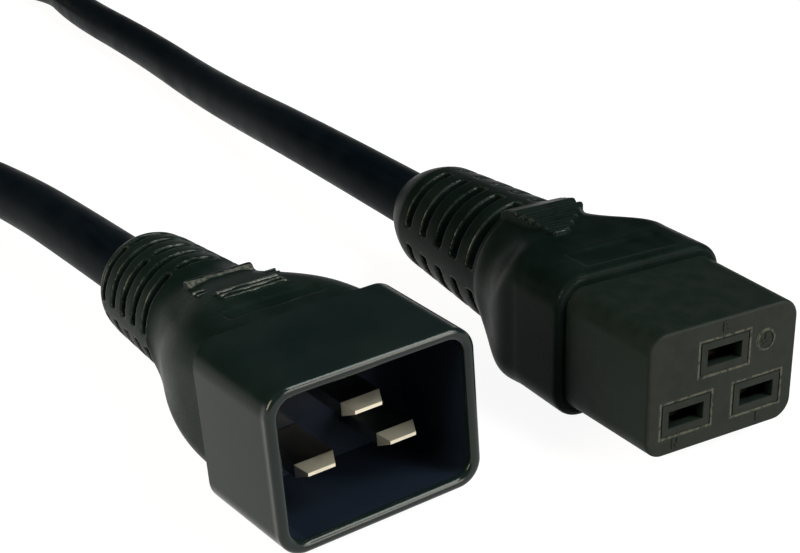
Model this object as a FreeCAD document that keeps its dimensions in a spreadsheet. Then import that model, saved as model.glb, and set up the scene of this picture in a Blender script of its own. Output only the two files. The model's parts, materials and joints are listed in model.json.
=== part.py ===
import FreeCAD, Part
import Sketcher
import math
import os

# C19 to C20 power cord: the C19 connector stands at the origin, its contact face
# looks along +X, its floor is z = 0. The C20 plug is on the other end of the cable.
doc = FreeCAD.newDocument("PowerCord")
vec = FreeCAD.Vector
sheet = doc.addObject("Spreadsheet::Sheet", "dims")
row = 0


def put(sizes):
    """Write each size to its own row of the sheet, under its own name."""
    global row
    for word, value in sizes.items():
        row += 1
        sheet.set("A%d" % row, word)
        sheet.set("B%d" % row, str(value))
        sheet.setAlias("B%d" % row, word)


def size(word):
    return float(sheet.get(word))


# ---- sizes shared by both ends -------------------------------------------------
sharedSizes = {
    "cordDiameter": 10.8, "boreGap": 0.15, "seatGap": 0.05, "cordEnd": 40.0, "endRadius": 5.85,
    "pinSpread": 6.5, "pinDrop": 4.0, "pinWide": 6.0, "pinThick": 2.0,
    "coreDiameter": 3.9, "strandDiameter": 2.5, "coreRing": 2.35, "wireCurve": 1.5,
    "bendFront": 29.5, "bendBack": 36.5, "coreFront": 26.0, "strandFront": 20.0,
    "crimpLong": 7.0, "crimpOuter": 3.6, "crimpInner": 2.6, "crimpSink": 0.5,
    "mouldWide": 20.0, "mouldTall": 14.0, "slitReach": 6.0,
}

# ---- C19 connector: x is measured back from the contact face -------------------
# each cross-section has its distance back, half width, height over and under the axis,
# and the radius of its upper corners (Crown) and its lower ones (Keel)
c19Sizes = {
    "plugLong": 86.0, "axisHigh": 12.3,
    "noseTipBack": 0.0, "noseTipHalf": 13.5, "noseTipTop": 9.65, "noseTipUnder": 9.65,
    "noseTipCrown": 3.1, "noseTipKeel": 3.1,
    "noseLong": 19.0, "noseSeatHalf": 13.9, "noseSeatTop": 10.0, "noseSeatUnder": 10.0,
    "noseSeatCrown": 3.2, "noseSeatKeel": 3.2, "noseEase": 0.5,
    "rootWide": 24.0, "rootTall": 16.4, "rootLong": 7.0,
    "slotWide": 6.3, "slotTall": 2.7, "slotDeep": 1.5, "cellWide": 8.8, "cellTall": 5.0,
    "towerWide": 9.0, "towerTall": 5.3, "towerLine": 0.25,
    "clipFront": 4.0, "clipWide": 8.2, "clipTall": 4.3, "clipLong": 13.6, "clipWall": 0.6,
    "clipMouth": 2.2, "leafShrink": 3.0, "leafLong": 6.0, "crimpStart": 17.5,
    "mouldLong": 12.0, "markLine": 0.25, "markTall": 1.6, "markLift": 0.12,
    "rimHalf": 15.4, "rimTop": 11.8, "rimUnder": 11.8, "rimCrown": 5.0, "rimKeel": 4.8,
    "rimEase": 1.1, "waistBack": 30.0,
    "shoulderBack": 33.8, "shoulderHalf": 15.45, "shoulderTop": 11.95, "shoulderUnder": 12.1,
    "shoulderCrown": 6.8, "shoulderKeel": 4.8,
    "saddleBack": 36.6, "saddleHalf": 15.1, "saddleTop": 12.0, "saddleUnder": 12.4,
    "saddleCrown": 9.8, "saddleKeel": 5.0,
    "hipBack": 40.2, "hipHalf": 13.9, "hipTop": 12.0, "hipUnder": 12.4,
    "hipCrown": 11.9, "hipKeel": 5.9,
    "throatBack": 44.0, "throatHalf": 12.8, "throatTop": 11.9, "throatUnder": 11.9,
    "throatCrown": 11.8, "throatKeel": 8.2,
    "neckBack": 48.0, "neckRadius": 11.9,
    "tailFront": 47.0, "tailRadius": 10.1, "domeLong": 9.0, "domeRadius": 8.55,
    "ringFirst": 50.3, "ringPitch": 5.75, "ringCount": 5, "ringTop": 3.0, "ringFoot": 1.8,
    "ringFloor": 8.7, "ringArc": 74.0, "ringTurn": 43.0,
    "gripFront": 33.6, "gripBack": 45.0, "gripHeel": 50.0, "gripHalf": 6.0, "gripTop": 12.75,
    "gripSlope": 1.5, "gripShort": 42.4, "gripNear": 3.4, "gripFirst": 35.1, "gripPitch": 2.15,
    "gripCount": 5, "gripCut": 0.75, "gripNotch": 0.55,
    "footFront": 21.0, "footLong": 25.0,
    "labelWide": 17.0, "labelLong": 6.0, "labelDeep": 0.35, "labelBack": 21.5,
}
noseStations = ("noseTip", "noseSeat")
bodyStations = ("waist", "shoulder", "saddle", "hip", "throat", "neck")

# ---- C20 plug: x is measured back from the rim of the shroud -------------------
c20Sizes = {
    "shroudRimBack": 0.0, "shroudRimHalf": 16.0, "shroudRimTop": 12.1, "shroudRimUnder": 12.1,
    "shroudRimCrown": 3.8, "shroudRimKeel": 3.8, "lipRound": 0.8,
    "shroudLong": 19.5, "shroudBaseHalf": 16.5, "shroudBaseTop": 12.6, "shroudBaseUnder": 12.6,
    "shroudBaseCrown": 4.0, "shroudBaseKeel": 4.0,
    "wellWide": 28.6, "wellTall": 20.9, "wellDeep": 16.9, "wellRound": 2.6,
    "bossWide": 23.0, "bossTall": 15.6, "bossLong": 6.0, "plugMouldLong": 12.5,
    "bladeTip": 4.9, "earthTip": 2.3, "bladeBack": 19.0,
    "wedgeLong": 2.0, "wedgeFlat": 0.5, "wedgeSide": 0.9,
    "heelHalf": 15.2, "heelTop": 11.6, "heelUnder": 11.2, "heelCrown": 4.6, "heelKeel": 5.0,
    "loinBack": 25.0, "loinHalf": 15.1, "loinTop": 11.6, "loinUnder": 11.2,
    "loinCrown": 5.8, "loinKeel": 5.4,
    "backBack": 30.5, "backHalf": 14.9, "backTop": 11.5, "backUnder": 11.2,
    "backCrown": 7.0, "backKeel": 5.8,
    "taperBack": 38.0, "taperHalf": 13.6, "taperTop": 11.0, "taperUnder": 11.0,
    "taperCrown": 9.4, "taperKeel": 6.6,
    "pinchBack": 45.0, "pinchHalf": 11.2, "pinchTop": 10.2, "pinchUnder": 10.6,
    "pinchCrown": 10.1, "pinchKeel": 6.2,
    "collarBack": 51.5, "collarRadius": 10.4,
    "tailLong": 76.5, "sleeveFront": 51.0, "sleeveRadius": 9.65, "sleeveDome": 6.5,
    "sleeveKnee": 8.7,
    "notchFirst": 52.3, "notchPitch": 8.8, "notchCount": 3, "notchTop": 2.4, "notchFoot": 1.4,
    "notchFloor": 8.0, "notchTurn": 56.0, "notchArc": 60.0, "longTurn": 34.0, "longArc": 104.0,
    "crestArc": 36.0,
    "barMiddle": 44.0, "barLong": 2.4, "barTop": 10.8, "barHalf": 5.6,
    "combFirst": 31.5, "combPitch": 1.35, "combCount": 3, "combWide": 0.6, "combTop": 11.85,
    "combSpan": 10.0, "stubFirst": 35.5, "stubTop": 11.05, "stubSide": 5.3, "stubLong": 1.5,
    "panelWide": 15.4, "panelLong": 6.5, "panelDeep": 0.45, "panelBack": 22.0,
    "plugX": 35.07, "plugY": -51.25, "plugZ": 13.7,
    "plugYaw": 4.43, "plugPitch": -1.9, "plugRoll": 2.0,
}
shroudStations = ("shroudRim", "shroudBase")
plugStations = ("heel", "loin", "back", "taper", "pinch", "collar")
for group in (sharedSizes, c19Sizes, c20Sizes):
    put(group)
# sections that lie where another size ends, or that are plain circles
sectionBack = {"noseSeat": "noseLong", "rim": "noseLong", "shroudBase": "shroudLong",
               "heel": "shroudLong"}
sectionTwin = {"waist": "rim"}
sectionRound = {"neck": "neckRadius", "collar": "collarRadius"}
doc.recompute()

halfLong = size("plugLong") / 2
c19Place = FreeCAD.Placement(vec(halfLong, 0, size("axisHigh")), FreeCAD.Rotation())
c20Place = FreeCAD.Placement(vec(size("plugX"), size("plugY"), size("plugZ")),
                             FreeCAD.Rotation(size("plugYaw"), size("plugPitch"), size("plugRoll")))
# the three contacts, looking at the face: line on +Y, neutral on -Y, earth above them
contacts = {"line": (1, -1), "neutral": (-1, -1), "earth": (0, 1)}
pieces = []


def expr(thing, prop, formula):
    """Bind a property to sheet cells, written as @name."""
    thing.setExpression(prop, formula.replace("@", "dims."))


def newBody(label):
    body = doc.addObject("PartDesign::Body", label)
    body.Label = label
    return body


def plane(body, role):
    return next(f for f in body.Origin.OriginFeatures if f.Role == role)


def newSketch(body, name, role="YZ_Plane", out=None):
    sketch = body.newObject("Sketcher::SketchObject", name)
    sketch.AttachmentSupport = [(plane(body, role), "")]
    sketch.MapMode = "FlatFace"
    if out is not None:
        expr(sketch, ".AttachmentOffset.Base.z", out)
    return sketch


def rectangle(sketch, left, right, low, high):
    """Four lines whose sides stand at the four given formulas."""
    sign = {}
    at = {}
    for key, formula in zip("lrbt", (left, right, low, high)):
        at[key] = evaluate(formula)
        sign[key] = 1 if at[key] >= 0 else -1
    corners = [vec(at[a], at[b], 0) for a, b in ("lb", "rb", "rt", "lt")]
    for i in range(4):
        sketch.addGeometry(Part.LineSegment(corners[i], corners[(i + 1) % 4]))
    for i in range(4):
        sketch.addConstraint(constraint("Coincident", i, 2, (i + 1) % 4, 1))
    for i in (0, 2):
        sketch.addConstraint(constraint("Horizontal", i))
    for i in (1, 3):
        sketch.addConstraint(constraint("Vertical", i))
    for key, line, kind, formula in (("l", 3, "DistanceX", left), ("r", 1, "DistanceX", right),
                                     ("b", 0, "DistanceY", low), ("t", 2, "DistanceY", high)):
        index = sketch.addConstraint(constraint(kind, -1, 1, line, 1, at[key]))
        expr(sketch, "Constraints[%d]" % index, formula)
    return sketch


def constraint(*what):
    return Sketcher.Constraint(*what)


def evaluate(formula):
    """The present value of a formula of sheet names."""
    cell = doc.getObject("scratch") or doc.addObject("App::FeaturePython", "scratch")
    if not hasattr(cell, "value"):
        cell.addProperty("App::PropertyFloat", "value")
    expr(cell, "value", formula)
    cell.recompute()
    return cell.value


def sectionSizes(word):
    """The formulas that a cross-section's distance back and its shape come from."""
    back = "@" + sectionBack.get(word, word + "Back")
    if word in sectionRound:
        radius = "@" + sectionRound[word]
        corner = radius + " * 0.99"
        return back, radius, radius, radius, corner, corner
    own = "@" + sectionTwin.get(word, word)
    return (back,) + tuple(own + part for part in ("Half", "Top", "Under", "Crown", "Keel"))


def roundSection(body, word):
    """One cross-section of a moulded body, square cornered to round."""
    formulas = sectionSizes(word)
    half, top, under, crown, keel = (evaluate(formula) for formula in formulas[1:])
    sketch = newSketch(body, body.Label + "_" + word, out="-(%s)" % formulas[0])
    up, down = vec(0, 0, 1), math.pi
    centres = ((half - keel, keel - under, keel, -0.5 * down), (half - crown, top - crown, crown, 0),
               (crown - half, top - crown, crown, 0.5 * down), (keel - half, keel - under, keel, down))
    arcs = [Part.ArcOfCircle(Part.Circle(vec(y, z, 0), up, r), a, a + 0.5 * down)
            for y, z, r, a in centres]
    ids = [sketch.addGeometry(arc) for arc in arcs]
    lines = []
    for i in range(4):
        a, b = arcs[i].EndPoint, arcs[(i + 1) % 4].StartPoint
        lines.append(sketch.addGeometry(Part.LineSegment(a, b)))
    for i in range(4):
        sketch.addConstraint(constraint("Tangent", ids[i], 2, lines[i], 1))
        sketch.addConstraint(constraint("Tangent", lines[i], 2, ids[(i + 1) % 4], 1))
    corners = (formulas[5], formulas[4], formulas[4], formulas[5])
    for arc, formula in zip(ids, corners):
        index = sketch.addConstraint(constraint("Radius", arc, sketch.Geometry[arc].Radius))
        expr(sketch, "Constraints[%d]" % index, formula)
    for line, kind, value, formula in ((lines[0], "DistanceX", half, formulas[1]),
                                       (lines[2], "DistanceX", -half, "-(%s)" % formulas[1]),
                                       (lines[1], "DistanceY", top, formulas[2]),
                                       (lines[3], "DistanceY", -under, "-(%s)" % formulas[3])):
        index = sketch.addConstraint(constraint(kind, -1, 1, line, 1, value))
        expr(sketch, "Constraints[%d]" % index, formula)
    return sketch


def pad(body, name, sketch, long, reverse=True):
    feature = body.newObject("PartDesign::Pad", name)
    feature.Profile = sketch
    feature.Reversed = reverse
    expr(feature, "Length", long)
    return feature


def pocket(body, name, sketch, long, both=False):
    before = tipVolume(body)
    feature = body.newObject("PartDesign::Pocket", name)
    feature.Profile = sketch
    feature.Midplane = both
    expr(feature, "Length", long)
    doc.recompute()
    if not feature.Shape.Volume < before - 1e-4:
        raise SystemExit("pocket %s cuts nothing" % name)
    return feature


def tipVolume(body):
    doc.recompute()
    return body.Shape.Volume


def round_(body, name, radius, chosen, kind="PartDesign::Fillet"):
    """Fillet or chamfer the edges of the present tip that the test picks."""
    doc.recompute()
    base = body.Tip
    names = ["Edge%d" % (i + 1) for i, edge in enumerate(base.Shape.Edges) if chosen(edge)]
    feature = body.newObject(kind, name)
    feature.Base = (base, names)
    expr(feature, "Radius" if kind.endswith("Fillet") else "Size", radius)
    doc.recompute()
    return feature


def middle(edge):
    return edge.CenterOfMass


def flatAt(edge, x):
    """True for an edge that lies all in the plane at x."""
    return abs(edge.BoundBox.XMin - x) < 0.01 and edge.BoundBox.XLength < 1e-4


def along(edge, axis):
    span = edge.BoundBox
    spread = {"x": span.XLength, "y": span.YLength, "z": span.ZLength}
    return all(value < 1e-4 for key, value in spread.items() if key != axis)


def finish(thing, label, place):
    thing.Label = label
    thing.Placement = place
    pieces.append(thing)


def strainRelief(body, root, front, dome, knee, back, wide, narrow, hollow):
    """The round tail of a moulded body, with a domed end and the cable's bore."""
    sketch = newSketch(body, root + "TailProfile", role="XZ_Plane")
    far, near = -size(back), -size(front)
    turn = far + size(dome)
    middle_ = vec((far + turn) / 2, size(knee), 0)
    arc = Part.Arc(vec(turn, size(narrow), 0), middle_, vec(far, size("endRadius"), 0))
    for shape in (Part.LineSegment(vec(near, 0, 0), vec(near, size(wide), 0)),
                  Part.LineSegment(vec(near, size(wide), 0), vec(turn, size(narrow), 0)), arc,
                  Part.LineSegment(vec(far, size("endRadius"), 0), vec(far, 0, 0)),
                  Part.LineSegment(vec(far, 0, 0), vec(near, 0, 0))):
        sketch.addGeometry(shape)
    for one, two in ((0, 1), (3, 4), (4, 0)):
        sketch.addConstraint(constraint("Coincident", one, 2, two, 1))
    last = 1 if sketch.Geometry[2].StartPoint.x < turn - 1 else 2
    sketch.addConstraint(constraint("Coincident", 1, 2, 2, 3 - last))
    sketch.addConstraint(constraint("Coincident", 3, 1, 2, last))
    for kind, line, value, formula in (
            ("DistanceX", 0, near, "-@%s" % front), ("DistanceX", 4, far, "-@%s" % back),
            ("DistanceY", 1, size(wide), "@%s" % wide),
            ("DistanceY", 3, size("endRadius"), "@endRadius")):
        index = sketch.addConstraint(constraint(kind, -1, 1, line, 1, value))
        expr(sketch, "Constraints[%d]" % index, formula)
    for kind, value, formula in (("DistanceX", turn, "-@%s + @%s" % (back, dome)),
                                 ("DistanceY", size(narrow), "@%s" % narrow)):
        index = sketch.addConstraint(constraint(kind, -1, 1, 1, 2, value))
        expr(sketch, "Constraints[%d]" % index, formula)
    tail = body.newObject("PartDesign::Revolution", root + "Tail")
    tail.Profile = sketch
    tail.ReferenceAxis = (sketch, ["H_Axis"])
    tail.Angle = 360
    bore = body.newObject("PartDesign::SubtractiveCylinder", root + "Bore")
    bore.AttachmentSupport = [(plane(body, "YZ_Plane"), "")]
    bore.MapMode = "FlatFace"
    expr(bore, ".AttachmentOffset.Base.z", "-@%s - 1" % back)
    expr(bore, "Radius", "@cordDiameter / 2 + @boreGap")
    expr(bore, "Height", "@%s + 1 - %s" % (back, hollow))


def repeat(body, feature, pitch, count):
    """The feature and its mirror image, in step along the piece."""
    body.Tip = feature
    many = body.newObject("PartDesign::MultiTransform", feature.Name + "Row")
    many.Originals = [feature]
    mirror = body.newObject("PartDesign::Mirrored", feature.Name + "Mirror")
    mirror.MirrorPlane = (plane(body, "XZ_Plane"), [""])
    steps = body.newObject("PartDesign::LinearPattern", feature.Name + "Steps")
    steps.Direction = (plane(body, "X_Axis"), [""])
    steps.Reversed = True
    expr(steps, "Length", "(%s) * (%s - 1)" % (pitch, count))
    expr(steps, "Occurrences", count)
    many.Transformations = [mirror, steps]
    body.Tip = many
    doc.recompute()


def slits(body, name, turn, arc, first, pitch, count, foot, top, floor):
    """Slits cut round part of the tail, in step along it, and their mirror image."""
    sketch = newSketch(body, name + "Outline", role="XZ_Plane")
    sketch.AttachmentOffset = FreeCAD.Placement(vec(), FreeCAD.Rotation(vec(1, 0, 0), evaluate(turn)))
    a, b, low = evaluate(foot) / 2, evaluate(top) / 2, evaluate(floor)
    x0, high = -evaluate(first), low + size("slitReach")
    corners = [vec(x0 - a, low, 0), vec(x0 + a, low, 0), vec(x0 + b, high, 0), vec(x0 - b, high, 0)]
    for i in range(4):
        sketch.addGeometry(Part.LineSegment(corners[i], corners[(i + 1) % 4]))
    for i in range(4):
        sketch.addConstraint(constraint("Coincident", i, 2, (i + 1) % 4, 1))
    sketch.addConstraint(constraint("Horizontal", 0))
    sketch.addConstraint(constraint("Horizontal", 2))
    for kind, start, value, formula in (
            ("DistanceX", 0, x0 - a, "-(%s) - %s / 2" % (first, foot)),
            ("DistanceX", 1, x0 + a, "-(%s) + %s / 2" % (first, foot)),
            ("DistanceX", 2, x0 + b, "-(%s) + %s / 2" % (first, top)),
            ("DistanceX", 3, x0 - b, "-(%s) - %s / 2" % (first, top)),
            ("DistanceY", 0, low, floor), ("DistanceY", 2, high, floor + " + @slitReach")):
        index = sketch.addConstraint(constraint(kind, -1, 1, start, 1, value))
        expr(sketch, "Constraints[%d]" % index, formula)
    before = tipVolume(body)
    groove = body.newObject("PartDesign::Groove", name)
    groove.Profile = sketch
    groove.ReferenceAxis = (sketch, ["H_Axis"])
    groove.Midplane = True
    expr(groove, "Angle", arc)
    doc.recompute()
    repeat(body, groove, pitch, count)
    if not body.Shape.Volume < before - 20:
        raise SystemExit("slits %s cut nothing" % name)


def skinOver(body, stations, ruled=False):
    """A skin drawn over the cross-sections, from the front one back."""
    sections = [roundSection(body, word) for word in stations]
    doc.recompute()
    loft = body.newObject("PartDesign::AdditiveLoft", body.Label + "_skin")
    loft.Profile = sections[0]
    loft.Sections = sections[1:]
    loft.Ruled = ruled
    doc.recompute()


def bar(body, name, wide, tall, start, long, y=None, z=None):
    """A square-cornered bar along x, from start back, centred on the piece's own axis."""
    sketch = newSketch(body, name + "Outline", out=start)
    y, z = y or "0", z or "0"
    rectangle(sketch, "%s - %s / 2" % (y, wide), "%s + %s / 2" % (y, wide),
              "%s - %s / 2" % (z, tall), "%s + %s / 2" % (z, tall))
    return pad(body, name, sketch, long)


def hole(body, name, wide, tall, start, long, y=None, z=None):
    """The same bar, taken away."""
    sketch = newSketch(body, name + "Outline", out=start)
    y, z = y or "0", z or "0"
    rectangle(sketch, "%s - %s / 2" % (y, wide), "%s + %s / 2" % (y, wide),
              "%s - %s / 2" % (z, tall), "%s + %s / 2" % (z, tall))
    return pocket(body, name, sketch, long)


def contactHoles(body, name, wide, tall, start, long):
    for which, (side, lift) in contacts.items():
        hole(body, name + which, wide, tall, start, long,
             "@pinSpread * %d" % side, "@pinDrop" if lift > 0 else "-@pinDrop")


def outline(body, name, points, out, role="YZ_Plane"):
    """A closed outline through the given points."""
    sketch = newSketch(body, name, role=role, out=out)
    corners = [vec(a, b, 0) for a, b in points]
    for i in range(len(corners)):
        sketch.addGeometry(Part.LineSegment(corners[i], corners[(i + 1) % len(corners)]))
    for i in range(len(corners)):
        sketch.addConstraint(constraint("Coincident", i, 2, (i + 1) % len(corners), 1))
        sketch.addConstraint(constraint("Block", i))
    return sketch


def ring(body, name, y, z, radius, line, out):
    sketch = newSketch(body, name, out=out)
    for r in (radius, radius - line):
        sketch.addGeometry(Part.Circle(vec(y, z, 0), vec(0, 0, 1), r))
    return sketch


# ---- C19 overmould -------------------------------------------------------------
body = newBody("c19_overmould")
# thumb grip: a flat block toothed across, short on one side, that slopes away behind
front, back, heel = -size("gripFront"), -size("gripBack"), -size("gripHeel")
half, top = size("gripHalf"), size("gripTop")
plan = outline(body, "gripPlan", [(heel, -half), (front, -half), (front, -size("gripNear")),
                                  (-size("gripShort"), half), (heel, half)], "0", role="XY_Plane")
pad(body, "grip", plan, "@gripTop", reverse=False)
doc.recompute()
profile = [(heel - 1, top - size("gripSlope")), (heel, top - size("gripSlope")), (back, top)]
for i in reversed(range(int(size("gripCount")))):
    x = -size("gripFirst") - i * size("gripPitch")
    notch = size("gripNotch")
    profile += [(x - 2 * notch, top), (x - notch / 2, top - size("gripCut")),
                (x + notch / 2, top - size("gripCut")), (x + notch, top)]
profile += [(front + 1, top), (front + 1, top + 1), (heel - 1, top + 1)]
teeth = outline(body, "gripTeeth", profile, "0", role="XZ_Plane")
cut = pocket(body, "gripRamp", teeth, "@gripHalf * 3", both=True)
skinOver(body, bodyStations)
collar = roundSection(body, "rim")
pad(body, "collar", collar, "@waistBack - @noseLong")
round_(body, "rimEase", "@rimEase",
       lambda edge: flatAt(edge, -size("noseLong")))
strainRelief(body, "c19", "tailFront", "domeLong", "domeRadius", "plugLong", "neckRadius",
             "tailRadius", "@noseLong - @rootLong - @mouldLong")
for name, turn in (("upperSlits", "@ringTurn"), ("lowerSlits", "180 - @ringTurn")):
    slits(body, name, turn, "@ringArc", "@ringFirst", "@ringPitch", "@ringCount", "@ringFoot",
          "@ringTop", "@ringFloor")
# the flat foot that the connector rests on
hole(body, "foot", "@rimHalf * 3", "@rimUnder / 2", "-@footFront", "@footLong",
     z="-@axisHigh - @rimUnder / 4")
# shallow panel for a moulded name, left bare
panel = newSketch(body, "labelOutline", role="XY_Plane", out="@rimTop")
rectangle(panel, "-@labelBack - @labelLong", "-@labelBack", "-@labelWide / 2", "@labelWide / 2")
pocket(body, "label", panel, "@labelDeep")
hole(body, "rootSeat", "(@rootWide + 2 * @seatGap)", "(@rootTall + 2 * @seatGap)", "-@noseLong",
     "@rootLong + @seatGap")
hole(body, "mouldSeat", "(@mouldWide + 2 * @seatGap)", "(@mouldTall + 2 * @seatGap)",
     "-@noseLong - @rootLong", "@mouldLong + @seatGap")
doc.recompute()
finish(body, "c19_overmould", c19Place)

# ---- C19 contact block: the nose with its three cells ---------------------------
body = newBody("c19_contact_block")
skinOver(body, noseStations, ruled=True)
round_(body, "noseEase", "@noseEase", lambda edge: flatAt(edge, 0))
bar(body, "root", "@rootWide", "@rootTall", "-@noseLong", "@rootLong")
contactHoles(body, "slot", "@slotWide", "@slotTall", "0", "@slotDeep")
contactHoles(body, "cell", "@cellWide", "@cellTall", "-@slotDeep",
             "@noseLong + @rootLong - @slotDeep")
for which, (side, lift) in contacts.items():
    y, z = side * size("pinSpread"), lift * size("pinDrop")
    frame = newSketch(body, "tower" + which, out="0")
    for grow in (0.0, size("towerLine")):
        a, b = size("towerWide") / 2 - grow, size("towerTall") / 2 - grow
        n = frame.GeometryCount
        corners = [vec(y - a, z - b, 0), vec(y + a, z - b, 0), vec(y + a, z + b, 0),
                   vec(y - a, z + b, 0)]
        for i in range(4):
            frame.addGeometry(Part.LineSegment(corners[i], corners[(i + 1) % 4]))
        for i in range(4):
            frame.addConstraint(constraint("Coincident", n + i, 2, n + (i + 1) % 4, 1))
            frame.addConstraint(constraint("Block", n + i))
    pocket(body, "towerLine" + which, frame, "@towerLine / 2")
# terminal letters and the earth mark, raised from the face
w, t = size("markLine"), size("markTall")
letterL = [(0, 0), (0.6 * t, 0), (0.6 * t, w), (w, w), (w, t), (0, t)]
letterE = [(0, 0), (0.6 * t, 0), (0.6 * t, w), (w, w), (w, (t - w) / 2), (0.5 * t, (t - w) / 2),
           (0.5 * t, (t + w) / 2), (w, (t + w) / 2), (w, t - w), (0.6 * t, t - w), (0.6 * t, t),
           (0, t)]
n = 0.7 * t
letterN = [(0, 0), (w, 0), (w, 0.62 * t), (n - w, 0), (n, 0), (n, t), (n - w, t), (n - w, 0.38 * t),
           (w, t), (0, t)]
for name, letter, y, z in (("letterE", letterE, -0.6, 7.6), ("letterN", letterN, -8.9, -8.7),
                           ("letterL", letterL, 6.7, -8.7)):
    pad(body, name, outline(body, name + "Outline", [(y + a, z + b) for a, b in letter], "0"),
        "@markLift", reverse=False)
pad(body, "earthRing", ring(body, "earthRingOutline", 7.6, 4.3, 1.6, w, "0"), "@markLift",
    reverse=False)
stem = [(-w / 2, 0.1), (-0.8, 0.1), (-0.8, 0.1 - w), (0.8, 0.1 - w), (0.8, 0.1), (w / 2, 0.1),
        (w / 2, 1.0), (-w / 2, 1.0)]
pad(body, "earthStem", outline(body, "earthStemOutline", [(7.6 + a, 4.3 + b) for a, b in stem],
                               "0"), "@markLift", reverse=False)
bar(body, "earthBar", "0.9", "@markLine", "@markLift", "@markLift", "7.6", "3.75")
doc.recompute()
finish(body, "c19_contact_block", c19Place)


def crimp(body, name, start):
    """The barrel a stripped wire is pressed into, open at the back."""
    for kind, word, radius, front, long in (
            ("PartDesign::AdditiveCylinder", "Barrel", "@crimpOuter / 2", start, "@crimpLong"),
            ("PartDesign::SubtractiveCylinder", "Bore", "@crimpInner / 2", start + " + 1",
             "@crimpLong")):
        tube = body.newObject(kind, name + word)
        tube.AttachmentSupport = [(plane(body, "YZ_Plane"), "")]
        tube.MapMode = "FlatFace"
        expr(tube, ".AttachmentOffset.Base.z", "-(%s) - @crimpLong" % front)
        expr(tube, "Radius", radius)
        expr(tube, "Height", long)


def contactPlace(place, side, lift):
    return place * FreeCAD.Placement(vec(0, side * size("pinSpread"), lift * size("pinDrop")),
                                     FreeCAD.Rotation())


# ---- C19 receptacles: folded spring brass with a crimp barrel --------------------
for which, (side, lift) in contacts.items():
    label = "c19_%s_receptacle" % which
    body = newBody(label)
    bar(body, "clip", "@clipWide", "@clipTall", "-@clipFront", "@clipLong")
    hole(body, "gap", "(@clipWide - 2 * @clipWall)", "(@clipTall - 2 * @clipWall)",
         "-@clipFront", "@clipLong - @clipWall")
    for way, name in ((1, "upperLeaf"), (-1, "lowerLeaf")):
        bar(body, name, "(@clipWide - @leafShrink)", "(@clipTall / 2 - @clipWall - @clipMouth / 2)",
            "-@clipFront - @leafLong / 2", "@leafLong",
            z="%d * (@clipTall / 2 - @clipWall + @clipMouth / 2) / 2" % way)
    crimp(body, "wire", "@crimpStart")
    doc.recompute()
    finish(body, label, contactPlace(c19Place, side, lift))

# ---- C20 shroud: the open box, its floor and the boss behind it ------------------
body = newBody("c20_shroud")
skinOver(body, shroudStations, ruled=True)
hole(body, "well", "@wellWide", "@wellTall", "0", "@wellDeep")
round_(body, "wellCorners", "@wellRound",
       lambda edge: along(edge, "x") and abs(abs(middle(edge).y) - size("wellWide") / 2) < 0.01)
round_(body, "lip", "@lipRound", lambda edge: flatAt(edge, 0))
bar(body, "boss", "@bossWide", "@bossTall", "-@shroudLong", "@bossLong")
contactHoles(body, "bladeSlot", "(@pinWide + 2 * @seatGap)", "(@pinThick + 2 * @seatGap)",
             "-@wellDeep", "@bladeBack + @seatGap - @wellDeep")
contactHoles(body, "barrelCell", "(@crimpOuter + 2 * @seatGap)", "(@crimpOuter + 2 * @seatGap)",
             "-@bladeBack + @crimpSink + @seatGap",
             "@shroudLong + @bossLong - @bladeBack + @crimpSink + @seatGap")
doc.recompute()
finish(body, "c20_shroud", c20Place)

# ---- C20 blades: flat pins with wedge tips, crimped behind the floor -------------
for which, (side, lift) in contacts.items():
    label = "c20_%s_blade" % which
    tip = "@earthTip" if which == "earth" else "@bladeTip"
    body = newBody(label)
    point = newSketch(body, "point", out="-" + tip)
    rectangle(point, "-@pinWide / 2 + @wedgeSide", "@pinWide / 2 - @wedgeSide",
              "-@wedgeFlat / 2", "@wedgeFlat / 2")
    full = newSketch(body, "full", out="-%s - @wedgeLong" % tip)
    rectangle(full, "-@pinWide / 2", "@pinWide / 2", "-@pinThick / 2", "@pinThick / 2")
    doc.recompute()
    wedge = body.newObject("PartDesign::AdditiveLoft", "wedge")
    wedge.Profile = point
    wedge.Sections = [full]
    wedge.Ruled = True
    pad(body, "pin", full, "@bladeBack - %s - @wedgeLong" % tip)
    crimp(body, "wire", "@bladeBack - @crimpSink")
    doc.recompute()
    finish(body, label, contactPlace(c20Place, side, lift))

# ---- C20 overmould ---------------------------------------------------------------
body = newBody("c20_overmould")
skinOver(body, plugStations)
strainRelief(body, "c20", "sleeveFront", "sleeveDome", "sleeveKnee", "tailLong", "collarRadius",
             "sleeveRadius", "@shroudLong - @bossLong - @plugMouldLong")
for name, turn, arc, first, count in (
        ("sideSlits", "@notchTurn", "@notchArc", "@notchFirst", "@notchCount"),
        ("longSlits", "@longTurn", "@longArc", "@notchFirst + @notchPitch / 2", "(@notchCount - 1)"),
        ("crestSlits", "0", "@crestArc", "@notchFirst", "@notchCount"),
        ("lowSlits", "180 - @ringTurn", "@ringArc", "@notchFirst", "@notchCount"),
        ("lowLongSlits", "180 - @ringTurn", "@ringArc", "@notchFirst + @notchPitch / 2",
         "(@notchCount - 1)")):
    slits(body, name, turn, arc, first, "@notchPitch", count, "@notchFoot", "@notchTop",
          "@notchFloor")
# raised bar across the back of the thumb grip
rib = newSketch(body, "barSection", role="XZ_Plane")
x, r, z = -size("barMiddle"), size("barLong") / 2, size("barTop") - size("barLong") / 2
rib.addGeometry(Part.ArcOfCircle(Part.Circle(vec(x, z, 0), vec(0, 0, 1), r), 0, math.pi))
corners = [vec(x - r, z, 0), vec(x - r, size("notchFloor"), 0), vec(x + r, size("notchFloor"), 0),
           vec(x + r, z, 0)]
for i in range(3):
    rib.addGeometry(Part.LineSegment(corners[i], corners[i + 1]))
for i in range(4):
    rib.addConstraint(constraint("Block", i))
across = pad(body, "gripBar", rib, "2 * @barHalf")
across.Midplane = True
doc.recompute()
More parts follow.
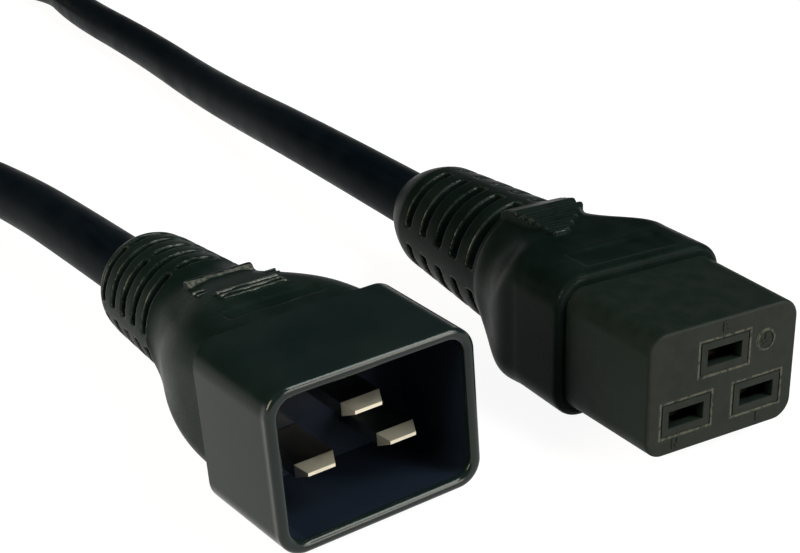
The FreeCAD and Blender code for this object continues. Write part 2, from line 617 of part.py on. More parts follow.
# three long ridges across the grip, and behind them short ones at its two edges
comb = newSketch(body, "combSection", role="XZ_Plane")
rectangle(comb, "-@combFirst - @combWide", "-@combFirst", "@combTop - 2", "@combTop")
tooth = pad(body, "combTooth", comb, "@combSpan")
tooth.Midplane = True
doc.recompute()
body.Tip = tooth
row_ = body.newObject("PartDesign::LinearPattern", "comb")
row_.Originals = [tooth]
row_.Direction = (plane(body, "X_Axis"), [""])
row_.Reversed = True
expr(row_, "Length", "@combPitch * (@combCount - 1)")
expr(row_, "Occurrences", "@combCount")
body.Tip = row_
doc.recompute()
stub = newSketch(body, "stubSection", role="XZ_Plane", out="@stubSide")
rectangle(stub, "-@stubFirst - @combWide", "-@stubFirst", "@stubTop - 2", "@stubTop")
repeat(body, pad(body, "combStub", stub, "@stubLong", reverse=False), "@combPitch", "@combCount")
panel = newSketch(body, "panelOutline", role="XY_Plane", out="@heelTop")
rectangle(panel, "-@panelBack - @panelLong", "-@panelBack", "-@panelWide / 2", "@panelWide / 2")
pocket(body, "panel", panel, "@panelDeep")
hole(body, "bossSeat", "(@bossWide + 2 * @seatGap)", "(@bossTall + 2 * @seatGap)",
     "-@shroudLong", "@bossLong + @seatGap")
hole(body, "mouldSeat", "(@mouldWide + 2 * @seatGap)", "(@mouldTall + 2 * @seatGap)",
     "-@shroudLong - @bossLong", "@plugMouldLong + @seatGap")
doc.recompute()
finish(body, "c20_overmould", c20Place)


def route(points, fixed=None):
    """Straight runs joined by tangent arcs, each as large as its two runs allow."""
    points = [vec(*p) for p in points]
    edges, radii = [], []
    start = points[0]
    for a, b, c in zip(points, points[1:], points[2:]):
        u, v = (b - a).normalize(), (c - b).normalize()
        turn = u.getAngle(v)
        reach = fixed or 0.45 * min(a.distanceToPoint(b), b.distanceToPoint(c))
        radius = reach / math.tan(turn / 2)
        radii.append(radius)
        into, out = b - u * reach, b + v * reach
        half = (v - u).normalize()
        hub = radius / math.cos(turn / 2)
        centre = b + half * hub
        mid = centre - half * radius
        edges += [Part.LineSegment(start, into).toShape(), Part.Arc(into, mid, out).toShape()]
        start = out
    edges.append(Part.LineSegment(start, points[-1]).toShape())
    return Part.Wire(edges), radii


def rod(points, diameter, fixed=None):
    wire, radii = route(points, fixed)
    first = (vec(*points[1]) - vec(*points[0])).normalize()
    disc = Part.Wire(Part.Circle(vec(*points[0]), first, diameter / 2).toShape())
    solid = Part.Solid(wire.makePipeShell([disc], True, False))
    if solid.Volume < 0:
        solid.reverse()
    return solid, wire, radii


def fromShape(label, shape, place):
    thing = doc.addObject("Part::Feature", label)
    thing.Shape = shape
    finish(thing, label, place)
    return thing


# ---- wires and inner moulds --------------------------------------------------------
def wirePath(side, lift, near, far):
    """From the crimp back to the cable's end, coming in towards the cable's middle."""
    y, z = side * size("pinSpread"), lift * size("pinDrop")
    reach = math.hypot(y, z)
    shrink = size("coreRing") / reach
    inner = (y * shrink, z * shrink)
    return [(-near, y, z), (-size("bendFront"), y, z), (-size("bendBack"),) + inner,
            (-far,) + inner]


for end, place, front, long in (("c19", c19Place, "@noseLong + @rootLong", "@mouldLong"),
                                ("c20", c20Place, "@shroudLong + @bossLong", "@plugMouldLong")):
    bores = []
    for which, (side, lift) in contacts.items():
        curve, thin, thick = size("wireCurve"), size("strandDiameter"), size("coreDiameter")
        slack, stop = 2 * size("seatGap"), size("cordEnd") - size("seatGap")
        copper = rod(wirePath(side, lift, size("strandFront"), stop), thin, curve)[0]
        hollow = rod(wirePath(side, lift, size("strandFront"), stop + 1), thin + slack, curve)[0]
        sleeve = rod(wirePath(side, lift, size("coreFront"), stop), thick, curve)[0].cut(hollow)
        fromShape("%s_%s_core" % (end, which), sleeve, place)
        fromShape("%s_%s_strands" % (end, which), copper, place)
        bores.append(rod(wirePath(side, lift, size("coreFront") - 2, stop + 2), thick + slack,
                         curve)[0])
    block = doc.addObject("Part::Box", end + "MouldBlock")
    expr(block, "Length", long)
    expr(block, "Width", "@mouldWide")
    expr(block, "Height", "@mouldTall")
    expr(block, "Placement.Base.x", "-(%s) - %s" % (front, long))
    expr(block, "Placement.Base.y", "-@mouldWide / 2")
    expr(block, "Placement.Base.z", "-@mouldTall / 2")
    tunnels = doc.addObject("Part::Feature", end + "Tunnels")
    tunnels.Shape = bores[0].fuse(bores[1:])
    mould = doc.addObject("Part::Cut", end + "_inner_mould")
    mould.Base = block
    mould.Tool = tunnels
    doc.recompute()
    finish(mould, end + "_inner_mould", place)

# ---- the cable, from inside one tail to inside the other ---------------------------
cord = size("cordDiameter")
high = size("axisHigh")
plugTail = [c20Place.multVec(vec(-x, 0, 0)) for x in (size("tailLong") + 15, size("cordEnd"))]
cordPoints = [(halfLong - size("cordEnd"), 0, high), (-80, 0, high), (-163, 6.3, 5.45),
              (-222, 8.9, 5.45), (-288, 8, 5.45), (-331.5, 13, 5.45), (-372.5, -8.5, 5.45),
              (-389, -50, 5.45), (-375, -92, 5.45), (-332, -118, 5.45), (-282.5, -106, 5.45),
              (-228, -95.5, 5.45), (-168, -77, 5.45), (-108.5, -63, 8.4),
              tuple(plugTail[0]), tuple(plugTail[1])]
tube, wire, radii = rod(cordPoints, cord)
print("cable length %.1f, section times length %.0f, volume %.0f"
      % (wire.Length, wire.Length * math.pi * cord ** 2 / 4, tube.Volume))
print("cable radii", [round(r) for r in radii], "five diameters", 5 * cord)
print("plug tail", [tuple(round(c, 2) for c in p) for p in plugTail])
fromShape("power_cable", tube, FreeCAD.Placement())

# ---- check and write -----------------------------------------------------------------
doc.recompute()
for thing in doc.Objects:
    if "Invalid" in thing.State or "Error" in thing.State:
        raise SystemExit("%s is %s" % (thing.Label, thing.State))
os.makedirs("parts", exist_ok=True)
for thing in pieces:
    shape = thing.Shape
    if shape.isNull() or not shape.isValid() or len(shape.Solids) != 1:
        raise SystemExit("%s: %d solids, valid %s" % (thing.Label, len(shape.Solids),
                                                      shape.isValid()))
    low = shape.optimalBoundingBox(False)
    print("%-26s %8.0f mm3  z %.2f to %.2f" % (thing.Label, shape.Volume, low.ZMin, low.ZMax))
    shape.exportStep("parts/%s.step" % thing.Label)
print(len(pieces), "pieces")
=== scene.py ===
# Power cord: C19 connector, cable and C20 plug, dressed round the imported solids.
import json
import math

import bmesh
import bpy
from mathutils import Euler, Matrix, Quaternion, Vector


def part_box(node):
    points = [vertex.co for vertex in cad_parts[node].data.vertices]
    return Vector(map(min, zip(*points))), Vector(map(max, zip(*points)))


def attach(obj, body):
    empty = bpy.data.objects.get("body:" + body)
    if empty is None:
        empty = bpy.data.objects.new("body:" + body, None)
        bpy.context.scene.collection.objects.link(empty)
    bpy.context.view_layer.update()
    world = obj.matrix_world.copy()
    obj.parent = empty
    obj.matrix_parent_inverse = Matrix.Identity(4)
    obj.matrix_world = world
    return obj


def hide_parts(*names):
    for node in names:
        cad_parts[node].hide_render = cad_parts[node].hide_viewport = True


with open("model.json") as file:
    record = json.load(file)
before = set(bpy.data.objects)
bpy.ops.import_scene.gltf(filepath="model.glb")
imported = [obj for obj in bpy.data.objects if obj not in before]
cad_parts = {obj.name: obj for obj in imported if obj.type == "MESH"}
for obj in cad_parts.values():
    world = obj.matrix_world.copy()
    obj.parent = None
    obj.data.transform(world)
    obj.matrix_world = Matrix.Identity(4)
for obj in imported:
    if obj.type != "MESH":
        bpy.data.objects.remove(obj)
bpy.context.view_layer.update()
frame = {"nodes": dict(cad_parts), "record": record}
scene = bpy.context.scene
scene.view_settings.view_transform = "Standard"
slots = {part["node"]: part["material_slot"] for part in frame["record"]["subparts"]}
print("frame: %d nodes" % len(frame["nodes"]))


def addObject(name, data):
    made = bpy.data.objects.new(name, data)
    scene.collection.objects.link(made)
    return made


def shapeOf(thing):  # a plain mesh of what an object's curve or modifiers come to
    return bpy.data.meshes.new_from_object(
        thing.evaluated_get(bpy.context.evaluated_depsgraph_get()))


def dress(piece, finish):
    piece.data.materials.clear()
    piece.data.materials.append(finish)


# ---- the plug's own frame: from the middle of its rim, +X out of the well ----
plugValues = {"middle": (0.03507, -0.05125, 0.0137), "turns": (2.0, -1.9, 4.43)}  # m, degrees
plugPlace = Matrix.Translation(plugValues["middle"]) @ Euler(
    [math.radians(turn) for turn in plugValues["turns"]]).to_matrix().to_4x4()
plugBack = plugPlace.inverted()

# ---- camera ----
cameraValues = {
    "place": (0.1792, -0.1263, 0.1059),
    "azimuth": 61.39, "elevation": 22.98, "roll": -1.616,  # degrees
    "lens": 63.85, "sensor": 36.0, "near": 0.005, "far": 20.0,
}


def addCamera(v):
    data = bpy.data.cameras.new("camera")
    data.lens, data.sensor_width = v["lens"], v["sensor"]
    data.clip_start, data.clip_end = v["near"], v["far"]
    camera = addObject("camera", data)
    turn, up = math.radians(v["azimuth"]), math.radians(v["elevation"])
    back = Vector((math.sin(turn) * math.cos(up), -math.cos(turn) * math.cos(up), math.sin(up)))
    camera.location = v["place"]
    camera.rotation_mode = "QUATERNION"
    camera.rotation_quaternion = ((-back).to_track_quat("-Z", "Y")
                                  @ Quaternion((0, 0, 1), math.radians(v["roll"])))
    scene.camera = camera


addCamera(cameraValues)
print("camera stands")


# ---- node writing ----


class Flow:  # one socket's value, for writing node maths as plain expressions
    def __init__(self, net, socket):
        self.net, self.socket = net, socket

    def __add__(self, other):
        return self.net.maths("ADD", self, other)

    def __mul__(self, other):
        return self.net.maths("MULTIPLY", self, other)

    def __sub__(self, other):
        return self.net.maths("SUBTRACT", self, other)

    def __rsub__(self, other):
        return self.net.maths("SUBTRACT", other, self)

    def __abs__(self):
        return self.net.maths("ABSOLUTE", self)

    __radd__, __rmul__ = __add__, __mul__


class Net:  # a node tree and what is written in it
    def __init__(self, tree):
        self.tree = tree

    def join(self, socket, value):
        if isinstance(value, Flow):
            self.tree.links.new(value.socket, socket)
        else:
            socket.default_value = value

    def node(self, kind, settings, inputs, out=0):
        made = self.tree.nodes.new(kind)
        for word, value in settings.items():
            setattr(made, word, value)
        for word, value in inputs.items():
            self.join(made.inputs[word], value)
        return Flow(self, made.outputs[out])

    def maths(self, kind, *values):
        return self.node("ShaderNodeMath", {"operation": kind}, dict(enumerate(values)))

    def band(self, flow, low, high, first=0.0, last=1.0):
        return self.node("ShaderNodeMapRange", {"clamp": True},
                         {"Value": flow, "From Min": low, "From Max": high,
                          "To Min": first, "To Max": last})

    def ray(self, kind):
        return self.node("ShaderNodeLightPath", {}, {}, "Is %s Ray" % kind)


class Finish(Net):  # one material: its Principled shader and the nodes that feed it
    def __init__(self, name, steady):
        self.material = bpy.data.materials.new(name)
        self.material.use_nodes = True
        super().__init__(self.material.node_tree)
        self.shader = self.tree.nodes["Principled BSDF"]
        for word, value in steady.items():
            self.put(word, value)
        self.place = self.node("ShaderNodeTexCoord", {}, {}, "Object")

    def put(self, word, value):
        self.join(self.shader.inputs[word], value)

    def inPlug(self):  # a place in the plug's own frame
        return self.node("ShaderNodeMapping", {}, {
            "Vector": self.place, "Location": plugBack.to_translation(),
            "Rotation": plugBack.to_euler()})

    def drawnOut(self, share):  # a place squeezed along X, so that noise runs along it
        return self.node("ShaderNodeMapping", {}, {"Vector": self.place,
                                                   "Scale": (share, 1.0, 1.0)})

    def noise(self, scale, detail=3.0, rough=0.55, where=None):
        return self.node("ShaderNodeTexNoise", {}, {"Vector": where or self.place, "Scale": scale,
                                                    "Detail": detail, "Roughness": rough})

    def axis(self, which, where=None):  # one coordinate of a place: 0, 1 or 2
        return self.node("ShaderNodeSeparateXYZ", {}, {0: where or self.place}, which)

    def blend(self, mask, one, two):
        return self.node("ShaderNodeMix", {"data_type": "RGBA"}, {0: mask, 6: one, 7: two}, 2)

    def bump(self, height, depth, strength=1.0):
        self.put("Normal", self.node("ShaderNodeBump", {}, {"Height": height, "Distance": depth,
                                                            "Strength": strength}))


# ---- finishes: "steady" values go straight onto the shader, lengths are in metres ----
middle = (0.35, 0.65)  # the stretch of a noise that holds most of its values

pvcValues = {
    "steady": {"Specular IOR Level": 0.022, "Specular Tint": (1.0, 0.97, 0.86, 1),
               "Coat Roughness": 0.22},
    "dark": (0.0045, 0.0100, 0.0085, 1), "worn": (0.0085, 0.0155, 0.0140, 1),
    # painted highlight: edges take the paler edge colour, standing in for the lamp's glint along
    # them, partly as wear
    "edge": (0.030, 0.038, 0.036, 1), "stands": (0.05, 0.17),  # how far an edge stands out before it takes the painted highlight colour
    "edgeCoat": 0.7, "wearAndHighlightAt": (0.38, 0.56), "wornAt": (0.40, 0.68),
    "barSheen": (0.095, 0.100, 0.090, 1),  # painted sheen, standing in for the lamp's reflection on the plug's thumb grip
    "barSheenAt": (0.5, 0.9), "speckle": 1900.0, "speckleAt": (0.40, 0.60, 0.25, 1.0),
    "rough": (0.30, 0.44), "grain": 2600.0, "mottle": 160.0, "depth": 0.00003,
}
blackerPvcValues = dict(pvcValues, dark=(0.0030, 0.0068, 0.0060, 1),
                        worn=(0.0060, 0.0112, 0.0104, 1))


def mouldedPvc(name, v):
    f = Finish(name, v["steady"])
    mottle = f.noise(v["mottle"], 4.0)
    grain = f.noise(v["grain"], 2.0)
    stands = f.node("ShaderNodeAttribute", {"attribute_name": "edge"}, {}, "Fac")
    # painted highlight along the edges, broken up by noise and partly wear; the coat laid on them
    # is real gloss
    wearAndHighlight = f.band(stands, *v["stands"]) * f.band(mottle * 0.5 + grain * 0.5, *v["wearAndHighlightAt"])
    # painted sheen: a speckled pale colour where an edge stands out most, on the bar's slanted
    # front and on the ridges, in place of the lamp's reflection
    sheenMask = f.band(stands, *v["barSheenAt"]) * f.band(f.noise(v["speckle"], 4.0),
                                                        *v["speckleAt"])
    skin = f.blend(f.band(mottle, *v["wornAt"]), v["dark"], v["worn"])
    f.put("Base Color", f.blend(sheenMask, f.blend(wearAndHighlight, skin, v["edge"]), v["barSheen"]))
    f.put("Coat Weight", wearAndHighlight * v["edgeCoat"])
    f.put("Roughness", f.band(mottle * 0.6 + grain * 0.4, *middle, *v["rough"]))
    f.bump(grain + mottle * 0.5, v["depth"])
    return f.material


noseValues = {
    "steady": {"Specular IOR Level": 0.08},
    "dark": (0.0075, 0.0130, 0.0110, 1), "pale": (0.0110, 0.0165, 0.0140, 1),
    "paleAt": (0.38, 0.66),
    # painted light: the front face is coloured paler than the sides, as the front lamp lights it
    "face": (0.0165, 0.0195, 0.0165, 1), "litFacePale": (0.0250, 0.0285, 0.0240, 1),
    "litFacePaleAt": (0.40, 0.62), "patch": 90.0,
    "litFaceDeep": 0.0003, "litFaceSoft": 0.0001,  # how far back the painted front light on the face reaches
    # lines that wear has rubbed pale on the face, y and z: a frame round each contact, a ring
    "wearAndHighlight": (0.100, 0.098, 0.080, 1), "rubWide": 0.00024, "rubShare": 0.9,
    "frames": ((0.0065, 0.0083), (-0.0065, 0.0083), (0.0, 0.0163)),
    "frameHalf": (0.00465, 0.0028), "ringMiddle": (0.0076, 0.0166), "ringRadius": 0.0016,
    "wear": 1500.0, "wearAt": (0.36, 0.52),
    "rough": (0.46, 0.60), "spark": 3400.0, "mottle": 420.0, "depth": 0.00002,
}


def rubbedLines(f, v):
    gaps = [f.maths("MAXIMUM", *(abs(f.axis(which) - spot) - half for which, spot, half in
                                 zip((1, 2), frameMiddle, v["frameHalf"])))
            for frameMiddle in v["frames"]]
    onFace = f.node("ShaderNodeCombineXYZ", {}, {1: f.axis(1), 2: f.axis(2)})
    away = f.node("ShaderNodeVectorMath", {"operation": "DISTANCE"},
                  {0: onFace, 1: (0.0, *v["ringMiddle"])}, "Value")
    gaps.append(away - v["ringRadius"])
    return sum(f.band(abs(gap), v["rubWide"] * 0.6, v["rubWide"], 1, 0) for gap in gaps)


def sparkedPlastic(name, v):
    f = Finish(name, v["steady"])
    spark = f.node("ShaderNodeTexVoronoi", {"feature": "SMOOTH_F1"},
                   {"Vector": f.place, "Scale": v["spark"]})
    mottle = f.noise(v["mottle"], 5.0)
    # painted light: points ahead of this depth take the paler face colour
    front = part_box("c19_contact_block")[1][0] - v["litFaceDeep"]
    onFace = f.band(f.axis(0), front - v["litFaceSoft"], front + v["litFaceSoft"])
    side = f.blend(f.band(mottle, *v["paleAt"]), v["dark"], v["pale"])
    face = f.blend(f.band(mottle * 0.6 + f.noise(v["patch"]) * 0.4, *v["litFacePaleAt"]),
                   v["face"], v["litFacePale"])
    worn = f.band(f.noise(v["wear"]), *v["wearAt"]) * v["rubShare"]
    face = f.blend(rubbedLines(f, v) * worn, face, v["wearAndHighlight"])
    f.put("Base Color", f.blend(onFace, side, face))
    f.put("Roughness", f.band(mottle, 0.3, 0.7, *v["rough"]))
    f.bump(spark + mottle * 0.4, v["depth"], 0.7)
    return f.material


shroudValues = {
    "steady": {"Specular IOR Level": 0.08, "Specular Tint": (1.0, 0.98, 0.88, 1),
               "Coat Roughness": 0.18},
    "dark": (0.0050, 0.0108, 0.0106, 1), "pale": (0.0082, 0.0150, 0.0142, 1),
    "flow": 90.0, "paleAt": (0.35, 0.70),
    # painted shade: the inside of the well takes a bluer tone, standing in for the shade in the
    # recess
    "well": (0.0110, 0.0160, 0.0270, 1), "wellHalf": (0.0148, 0.0110), "wellSoft": 0.0004,
    "lip": 0.0008, "lipSoft": 0.0006,
    "rim": 0.0018, "rimCoat": 0.45,  # the rolled lip, polished by use
    "rough": (0.17, 0.27), "grain": 1500.0, "depth": 0.00001,
}


def glossPlastic(name, v):
    f = Finish(name, v["steady"])
    flow = f.noise(v["flow"])
    grain = f.noise(v["grain"])
    own = f.inPlug()
    out = f.axis(0, own)
    # painted shade: a box mask for the inside of the well, which takes the well colour
    wellShadeMask = f.band(out, -v["lip"] - v["lipSoft"], -v["lip"], 1, 0)
    for which, half in zip((1, 2), v["wellHalf"]):
        wellShadeMask = wellShadeMask * f.band(abs(f.axis(which, own)), half - v["wellSoft"], half, 1, 0)
    skin = f.blend(f.band(flow, *v["paleAt"]), v["dark"], v["pale"])
    f.put("Base Color", f.blend(wellShadeMask, skin, v["well"]))
    f.put("Coat Weight", f.band(out, -v["rim"], -v["rim"] * 0.6) * v["rimCoat"])
    f.put("Roughness", f.band(flow * 0.5 + grain * 0.5, *middle, *v["rough"]))
    f.bump(grain, v["depth"])
    return f.material


jacketValues = {
    "steady": {"Specular IOR Level": 0.01},
    "dark": (0.0016, 0.0036, 0.0062, 1), "pale": (0.0034, 0.0062, 0.0090, 1),
    "paleAt": (0.40, 0.62), "mottle": 120.0,
    "rough": (0.30, 0.42), "streak": 900.0, "drawn": 0.06, "depth": 0.00002,
}


def extrudedJacket(name, v):
    f = Finish(name, v["steady"])
    streak = f.noise(v["streak"], 3.0, 0.6, f.drawnOut(v["drawn"]))
    mottle = f.noise(v["mottle"], 4.0)
    f.put("Base Color", f.blend(f.band(streak * 0.5 + mottle * 0.5, *v["paleAt"]), v["dark"],
                                v["pale"]))
    f.put("Roughness", f.band(mottle, *middle, *v["rough"]))
    f.bump(streak * 0.6 + mottle, v["depth"])
    return f.material


bladeValues = {
    "steady": {"Metallic": 1.0},
    "pale": (0.66, 0.60, 0.48, 1), "dull": (0.50, 0.45, 0.35, 1), "rough": (0.12, 0.20),
    "dullAt": (0.40, 0.66), "mottle": 500.0,
    "tip": (0.74, 0.68, 0.54, 1), "tipRough": 0.36, "tipLong": 0.0021,  # the ground wedge
    "tipSoft": 0.0001, "tipAt": (0.35, 0.70),
    "scratch": 2400.0, "drawn": 0.08, "depth": 0.000004,
}
brassValues = dict(bladeValues, pale=(0.27, 0.21, 0.12, 1), dull=(0.16, 0.12, 0.07, 1),
                   rough=(0.30, 0.45))
copperValues = dict(bladeValues, pale=(0.80, 0.42, 0.26, 1), dull=(0.62, 0.30, 0.18, 1),
                    rough=(0.28, 0.40))


def stampedMetal(name, v, tip=None):
    f = Finish(name, v["steady"])
    scratch = f.noise(v["scratch"], 3.0, 0.6, f.drawnOut(v["drawn"]))
    mottle = f.noise(v["mottle"], 4.0)
    colour = f.blend(f.band(mottle, *v["dullAt"]), v["pale"], v["dull"])
    rough = f.band(scratch * 0.6 + mottle * 0.4, *middle, *v["rough"])
    if tip is not None:
        root = tip - v["tipLong"]
        ground = f.band(f.axis(0, f.inPlug()), root, root + v["tipSoft"])
        colour = f.blend(ground, colour, f.blend(f.band(mottle, *v["tipAt"]), v["tip"],
                                                 v["pale"]))
        rough = rough * (1 - ground) + ground * (mottle * 0.2 + v["tipRough"])
    f.put("Base Color", colour)
    f.put("Roughness", rough)
    f.bump(scratch, v["depth"])
    return f.material


coreValues = {"mottle": 700.0, "darker": 0.8, "rough": (0.35, 0.50)}


def plainCore(name, colour, v=coreValues):
    f = Finish(name, {})
    mottle = f.noise(v["mottle"])
    darker = (*(c * v["darker"] for c in colour[:3]), 1)
    f.put("Base Color", f.blend(f.band(mottle, *middle), colour, darker))
    f.put("Roughness", f.band(mottle, 0.3, 0.7, *v["rough"]))
    return f.material


finishes = {
    "cord_pvc": mouldedPvc("connectorPvc", blackerPvcValues),
    "plug_pvc": mouldedPvc("plugPvc", pvcValues),
    "contact_block": sparkedPlastic("nosePlastic", noseValues),
    "shroud": glossPlastic("shroudPlastic", shroudValues),
    "cable_jacket": extrudedJacket("cableJacket", jacketValues),
    "spring_brass": stampedMetal("springBrass", brassValues),
    "copper_strands": stampedMetal("bareCopper", copperValues),
    "inner_mould": plainCore("innerMould", (0.35, 0.35, 0.33, 1)),
    "core_line": plainCore("lineCore", (0.03, 0.03, 0.03, 1)),
    "core_neutral": plainCore("neutralCore", (0.80, 0.80, 0.78, 1)),
    "core_earth": plainCore("earthCore", (0.05, 0.35, 0.12, 1)),
}


def bladeFinish(node):  # each blade's wedge tip ends at its own depth
    tip = max((plugBack @ vertex.co).x for vertex in frame["nodes"][node].data.vertices)
    return stampedMetal(node.replace("c20_", "nickel_"), bladeValues, tip)


for node, slot in slots.items():
    finish = bladeFinish(node) if slot == "nickel_blade" else finishes[slot]
    dress(frame["nodes"][node], finish)
print("finishes: %d" % len(finishes))

# ---- cable ----
cableValues = {
    "diameter": 0.0108, "length": 0.8466, "steps": 24, "roundSteps": 9,
    "route": [  # metres, from inside the connector's tail to inside the plug's
        (0.003, 0, 0.0123), (-0.080, 0, 0.0123), (-0.163, 0.0063, 0.00545),
        (-0.222, 0.0089, 0.00545), (-0.288, 0.008, 0.00545), (-0.3315, 0.013, 0.00545),
        (-0.3725, -0.0085, 0.00545), (-0.389, -0.050, 0.00545), (-0.375, -0.092, 0.00545),
        (-0.332, -0.118, 0.00545), (-0.2825, -0.106, 0.00545), (-0.228, -0.0955, 0.00545),
        (-0.168, -0.077, 0.00545), (-0.1085, -0.063, 0.0084),
        (-0.05611, -0.05831, 0.01067), (-0.00479, -0.05434, 0.01237)],
}


def addCable(v):
    curve = bpy.data.curves.new("cableLine", "CURVE")
    curve.dimensions = "3D"
    spline = curve.splines.new("NURBS")
    spline.points.add(len(v["route"]) - 1)
    for point, place in zip(spline.points, v["route"]):
        point.co = (*place, 1)
    spline.order_u = 3
    spline.use_endpoint_u = True
    spline.resolution_u = v["steps"]
    guide = addObject("cableLine", curve)
    line = [tuple(vertex.co) for vertex in shapeOf(guide).vertices]
    curve.bevel_depth = v["diameter"] / 2
    curve.bevel_resolution = v["roundSteps"]
    curve.use_fill_caps = True
    tube = addObject("cable", shapeOf(guide))
    bpy.data.objects.remove(guide)
    dress(tube, finishes["cable_jacket"])
    return tube, line


cable, cableLine = addCable(cableValues)
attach(cable, "root")
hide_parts("power_cable")
print("cable laid")

# ---- moulded skins: the overmoulds with every edge eased as soft PVC leaves it ----
skinValues = {
    "skins": (("c19Skin", "c19_overmould"), ("c20Skin", "c20_overmould")),
    "weld": 0.000001, "voxel": 0.00030, "smooth": 2, "factor": 0.5,
    # the plug's thumb bar, in the plug's frame: its slanted front is marked as fully as an edge,
    # so the PVC finish paints its sheen there
    "bar": (-0.0465, -0.0405), "barHalf": 0.0060, "barLow": 0.0088, "slant": 0.25,
    "barStands": 1.0,
}


def standingOut(mesh, step):  # how far each point stands out from its neighbours, in grid steps
    lean = [Vector() for _ in mesh.vertices]
    near = [0] * len(lean)
    for edge in mesh.edges:
        one, two = edge.vertices
        way = mesh.vertices[two].co - mesh.vertices[one].co
        lean[one] += way
        lean[two] -= way
        near[one] += 1
        near[two] += 1
    return [-way.dot(vertex.normal) / (count * step)
            for way, vertex, count in zip(lean, mesh.vertices, near)]


def onBar(vertex, v):
    spot, way = plugBack @ vertex.co, plugBack.to_3x3() @ vertex.normal
    return (v["bar"][0] < spot.x < v["bar"][1] and abs(spot.y) < v["barHalf"]
            and spot.z > v["barLow"] and way.x > v["slant"])


def markEdges(mesh, stands):  # the PVC finish reads this attribute for its painted edge highlight and its coat
    mesh.attributes.new("edge", "FLOAT", "POINT").data.foreach_set("value", stands)


def easedCopy(name, node, v):
    mesh = frame["nodes"][node].data.copy()
    mesh.name = name
    work = bmesh.new()
    work.from_mesh(mesh)
    bmesh.ops.remove_doubles(work, verts=work.verts, dist=v["weld"])
    work.to_mesh(mesh)
    work.free()
    skin = addObject(name, mesh)
    grid = skin.modifiers.new("grid", "REMESH")
    grid.mode, grid.voxel_size, grid.use_smooth_shade = "VOXEL", v["voxel"], True
    ease = skin.modifiers.new("ease", "SMOOTH")
    ease.factor, ease.iterations = v["factor"], v["smooth"]
    ready = shapeOf(skin)
    markEdges(ready, [max(stand, v["barStands"]) if onBar(vertex, v) else stand for vertex, stand
                      in zip(ready.vertices, standingOut(ready, v["voxel"]))])
    skin.modifiers.clear()
    skin.data = ready
    dress(skin, finishes[slots[node]])
    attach(skin, "root")
    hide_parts(node)
    print("%s: %d faces" % (name, len(ready.polygons)))


for name, node in skinValues["skins"]:
    easedCopy(name, node, skinValues)

# ---- fine ridges of the plug's thumb grip ----
ridgeValues = {  # in the plug's frame
    # stands marks every ridge as a full edge, so the PVC finish paints its highlight and sheen on
    # it
    "radius": 0.00034, "pitch": 0.00135, "count": 3, "sides": 12, "stands": 1.0,
    "rows": [  # back, across, top, length of each ridge
        (0.0318, 0.0, 0.01187, 0.0100),
        (0.0358, 0.00605, 0.01107, 0.0016), (0.0358, -0.00605, 0.01107, 0.0016)],
}


def ridgeTree(material):
    tree = bpy.data.node_groups.new("ridgeRow", "GeometryNodeTree")
    tree.interface.new_socket(name="Geometry", in_out="OUTPUT", socket_type="NodeSocketGeometry")
    named = {}
    for word, kind in (("Count", "Int"), ("Sides", "Int"), ("Pitch", "Float"),
                       ("Radius", "Float"), ("Length", "Float")):
        named[word] = tree.interface.new_socket(
            name=word, in_out="INPUT", socket_type="NodeSocket" + kind).identifier
    net = Net(tree)
    sockets = tree.nodes.new("NodeGroupInput").outputs
    given = {word: Flow(net, sockets[word]) for word in named}

    def along(which, flow):
        return net.node("ShaderNodeCombineXYZ", {}, {which: flow})

    ridge = net.node("GeometryNodeCurvePrimitiveLine", {},
                     {"Start": along("Y", given["Length"] * -0.5),
                      "End": along("Y", given["Length"] * 0.5)})
    ring = net.node("GeometryNodeCurvePrimitiveCircle", {},
                    {"Resolution": given["Sides"], "Radius": given["Radius"]})
    tube = net.node("GeometryNodeCurveToMesh", {},
                    {"Curve": ridge, "Profile Curve": ring, "Fill Caps": True})
    row = net.node("GeometryNodeMeshLine", {},
                   {"Count": given["Count"], "Offset": along("X", given["Pitch"] * -1.0)})
    many = net.node("GeometryNodeInstanceOnPoints", {}, {"Points": row, "Instance": tube})
    solid = net.node("GeometryNodeRealizeInstances", {}, {"Geometry": many})
    dressed = net.node("GeometryNodeSetMaterial", {}, {"Geometry": solid, "Material": material})
    net.join(tree.nodes.new("NodeGroupOutput").inputs["Geometry"], dressed)
    return tree, named


def addRidges(v):
    tree, named = ridgeTree(finishes["plug_pvc"])
    whole = bmesh.new()
    for back, across, top, length in v["rows"]:
        row = addObject("ridgeRow", bpy.data.meshes.new("ridgeRow"))
        maker = row.modifiers.new("ridges", "NODES")
        maker.node_group = tree
        for word, value in (("Count", v["count"]), ("Sides", v["sides"]), ("Pitch", v["pitch"]),
                            ("Radius", v["radius"]), ("Length", length)):
            maker[named[word]] = value
        mesh = shapeOf(row)
        mesh.transform(plugPlace @ Matrix.Translation((-back, across, top - v["radius"])))
        whole.from_mesh(mesh)
        bpy.data.objects.remove(row)
    ridges = bpy.data.meshes.new("c20Ridges")
    bmesh.ops.recalc_face_normals(whole, faces=whole.faces)
    whole.to_mesh(ridges)
    whole.free()
    for face in ridges.polygons:
        face.use_smooth = len(face.vertices) == 4
    markEdges(ridges, [v["stands"]] * len(ridges.vertices))
    piece = addObject("c20Ridges", ridges)
    dress(piece, finishes["plug_pvc"])
    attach(piece, "root")
    print("ridges: %d faces" % len(ridges.polygons))


addRidges(ridgeValues)

# ---- the plug's pieces that sit on the cable, listed ----
onCable = ["c20_shroud", "c20Skin", "c20Ridges", "c20_inner_mould"]
onCable += ["c20_%s_%s" % (wire, part) for wire in ("line", "neutral", "earth")
            for part in ("blade", "core", "strands")]

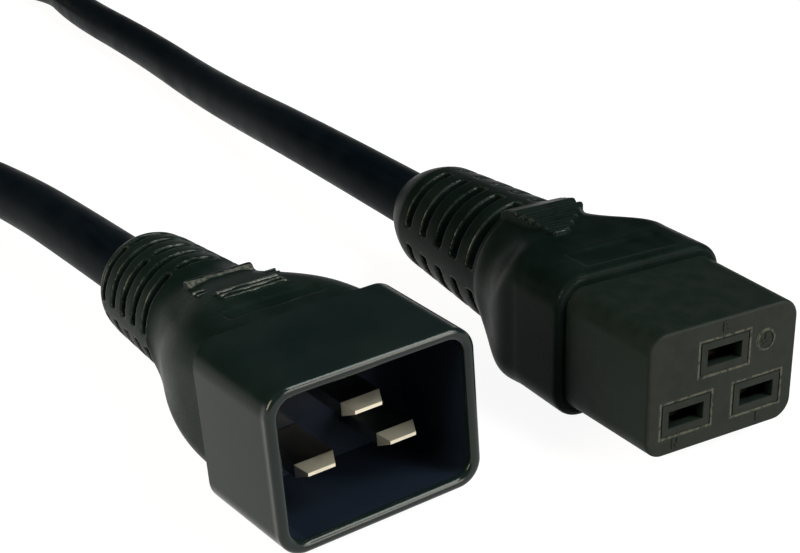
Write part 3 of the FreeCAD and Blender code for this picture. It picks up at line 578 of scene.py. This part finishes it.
# ---- light and floor ----
lightValues = {
    "world": 0.80, "overhead": 0.03, "fade": (0.04, 0.18),  # pale round the horizon, dark above
    "worldColour": (1.0, 1.0, 1.0, 1),
    "lamps": [  # name, place, width, height, watts, colour
        ("side", (0.10, -0.85, 0.40), 0.45, 0.45, 6.5, (1.0, 0.88, 0.66)),
        ("front", (0.80, 0.42, 0.30), 0.45, 0.45, 5.0, (1.0, 0.95, 0.86)),
        ("over", (0.44, 0.42, 0.74), 0.32, 0.75, 7.5, (0.94, 1.0, 0.96))],
}


def addWorld(v):
    world = bpy.data.worlds.new("studio")
    scene.world = world
    world.use_nodes = True
    net = Net(world.node_tree)
    back = net.tree.nodes["Background"]
    way = net.node("ShaderNodeTexCoord", {}, {}, "Generated")
    height = net.node("ShaderNodeSeparateXYZ", {}, {0: way}, "Z")
    lit = net.band(height, *v["fade"], v["world"], v["overhead"])
    net.join(back.inputs["Color"], v["worldColour"])
    net.join(back.inputs["Strength"], net.maths("MAXIMUM", lit, net.ray("Camera")))


def addLamps(v):
    for name, place, wide, tall, watts, colour in v["lamps"]:
        lamp = bpy.data.lights.new(name, "AREA")
        lamp.shape, lamp.size, lamp.size_y = "RECTANGLE", wide, tall
        lamp.energy, lamp.color = watts, colour
        stand = addObject(name, lamp)
        stand.location = place
        stand.rotation_mode = "QUATERNION"
        stand.rotation_quaternion = (-Vector(place)).to_track_quat("-Z", "Y")


floorValues = {
    "side": 16.0, "glow": 0.93,  # it glows white to the camera and in reflections
    "steady": {"Base Color": (0.22, 0.22, 0.22, 1), "Roughness": 0.95,
               "Specular IOR Level": 0.0},
}


def addFloor(v):  # its glow makes it white, its diffuse share keeps the shadow
    s = v["side"] / 2
    mesh = bpy.data.meshes.new("floor")
    mesh.from_pydata([(-s, -s, 0), (s, -s, 0), (s, s, 0), (-s, s, 0)], [], [(0, 1, 2, 3)])
    floor = addObject("floor", mesh)
    f = Finish("paleFloor", v["steady"])
    seen = f.ray("Camera")
    for kind in ("Glossy", "Transmission"):
        seen = f.maths("MAXIMUM", seen, f.ray(kind))
    glow = f.node("ShaderNodeEmission", {}, {"Strength": seen * v["glow"]})
    both = f.node("ShaderNodeAddShader", {}, {0: Flow(f, f.shader.outputs[0]), 1: glow})
    f.join(f.tree.nodes["Material Output"].inputs["Surface"], both)
    dress(floor, f.material)


addWorld(lightValues)
addLamps(lightValues)
addFloor(floorValues)
print("studio lit")
